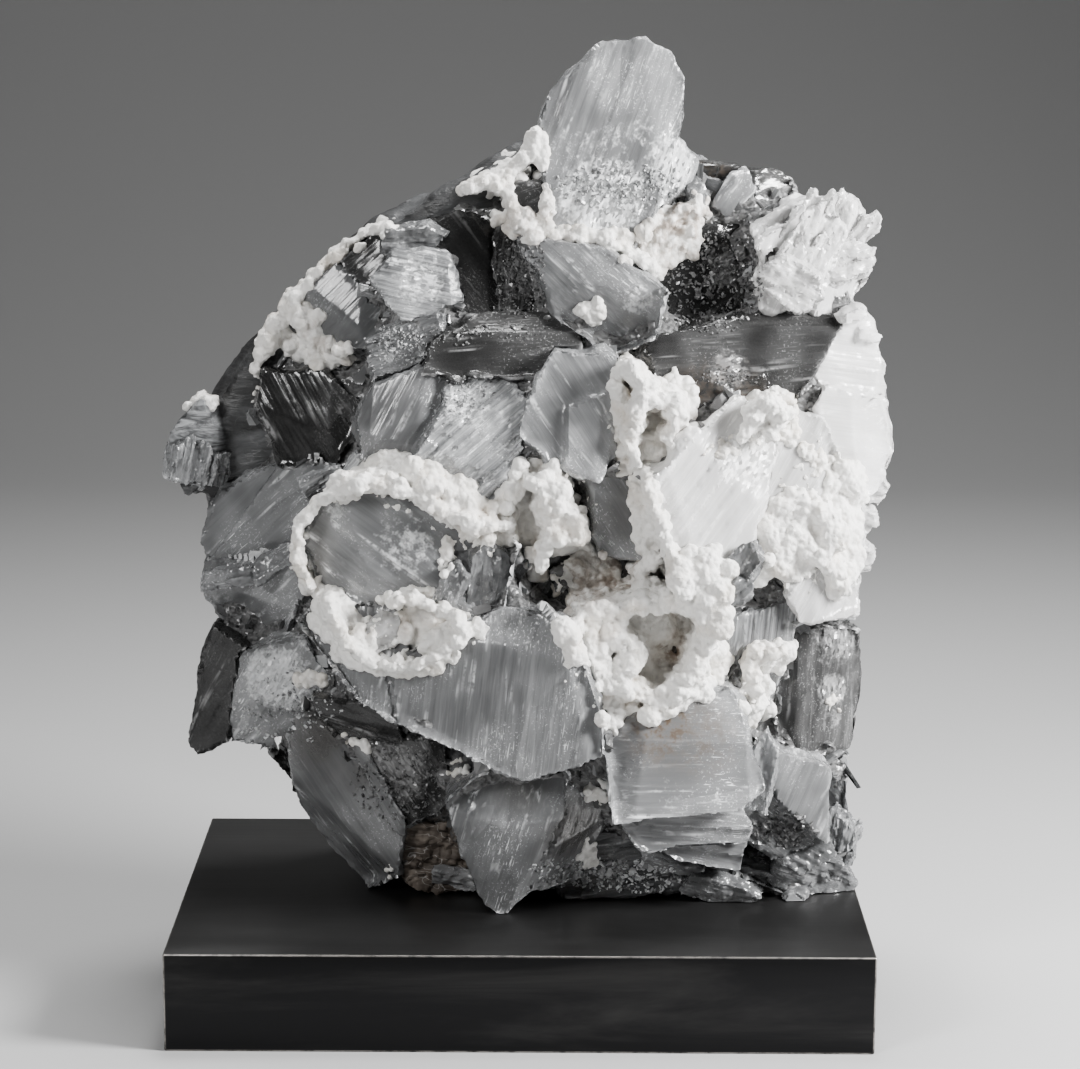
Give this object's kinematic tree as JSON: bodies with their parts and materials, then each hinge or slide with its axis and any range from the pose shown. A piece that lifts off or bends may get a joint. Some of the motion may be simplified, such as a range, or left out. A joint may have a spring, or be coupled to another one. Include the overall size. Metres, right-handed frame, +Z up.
{
  "type": "gypsum crystal cluster",
  "caption": "Cluster of grey and white selenite blades with white gypsum crusts on its host rock, standing on a rectangular black steel display plinth.",
  "frame": {"origin": "centre of the underside of the display plinth", "axes": "+Z up; +X along the plinth's long side, to the right of a viewer who faces the cluster's best side; the best side faces -Y"},
  "size_m": [0.382, 0.23, 0.498],
  "materials": {
    "clear_selenite": "translucent grey selenite with fine striations, part cleaved, part frosted",
    "frosted_selenite": "selenite with a granular, sparkling cleaved face",
    "smoky_selenite": "dark smoky translucent selenite, glossy",
    "white_selenite": "white translucent selenite, satin striated faces",
    "gypsum_crust": "white botryoidal gypsum crust, matt, with brown dirt in its hollows",
    "host_rock": "dark grey foliated rock with pale veins, silky",
    "earthy_matrix": "brown crumbly earth and rock",
    "blackened_steel": "blackened brushed steel, satin, with bright worn edges"
  },
  "bodies": {
    "root": {"display_plinth": "blackened_steel", "apron_crystal": "clear_selenite", "centre_bright_crystal": "white_selenite", "centre_crystal": "clear_selenite", "silver_crystal": "frosted_selenite", "stack_upper_crystal": "clear_selenite", "stack_middle_crystal": "clear_selenite", "stack_lower_crystal": "clear_selenite", "front_point_crystal": "clear_selenite", "framed_crystal": "clear_selenite", "rounded_crystal": "clear_selenite", "smoky_crystal": "smoky_selenite", "wedge_crystal": "clear_selenite", "upper_slab_crystal": "smoky_selenite", "frosted_upper_crystal": "frosted_selenite", "upper_left_crystal": "clear_selenite", "granular_grey_crystal": "frosted_selenite", "upper_dark_wedge": "smoky_selenite", "upper_dark_crystal": "smoky_selenite", "upper_sparkling_crystal": "smoky_selenite", "left_dark_crystal": "smoky_selenite", "left_upper_crystal": "clear_selenite", "left_lower_crystal": "clear_selenite", "low_left_crystal": "clear_selenite", "low_left_dark_crystal": "smoky_selenite", "small_dark_crystal": "smoky_selenite", "under_apron_crystal": "smoky_selenite", "left_foot_crystal": "clear_selenite", "frosted_right_crystal": "frosted_selenite", "right_dark_crystal": "smoky_selenite", "right_plate_crystal": "clear_selenite", "right_foot_crystal": "clear_selenite", "white_fan_crystal": "white_selenite", "white_flank_crystal": "white_selenite", "spiky_crystal": "white_selenite", "upper_right_dark_crystal": "smoky_selenite", "crown_crystal": "clear_selenite", "crown_foot_prism": "smoky_selenite", "summit_dark_crystal": "smoky_selenite", "low_rubble_crystal": "frosted_selenite", "earthy_rock": "earthy_matrix", "loose_chip": "clear_selenite", "inner_centre_crystal": "smoky_selenite", "inner_right_crystal": "frosted_selenite", "host_rock": "host_rock", "crown_crust": "gypsum_crust", "crown_right_crust": "gypsum_crust", "rim_crust": "gypsum_crust", "knob_crust": "gypsum_crust", "popcorn_crust": "gypsum_crust", "arc_crust": "gypsum_crust", "block_crust": "gypsum_crust", "loop_crust": "gypsum_crust", "mass_crust": "gypsum_crust", "bright_cap_crust": "gypsum_crust", "right_crust": "gypsum_crust", "lower_right_crust": "gypsum_crust"}
  },
  "joints": []
}
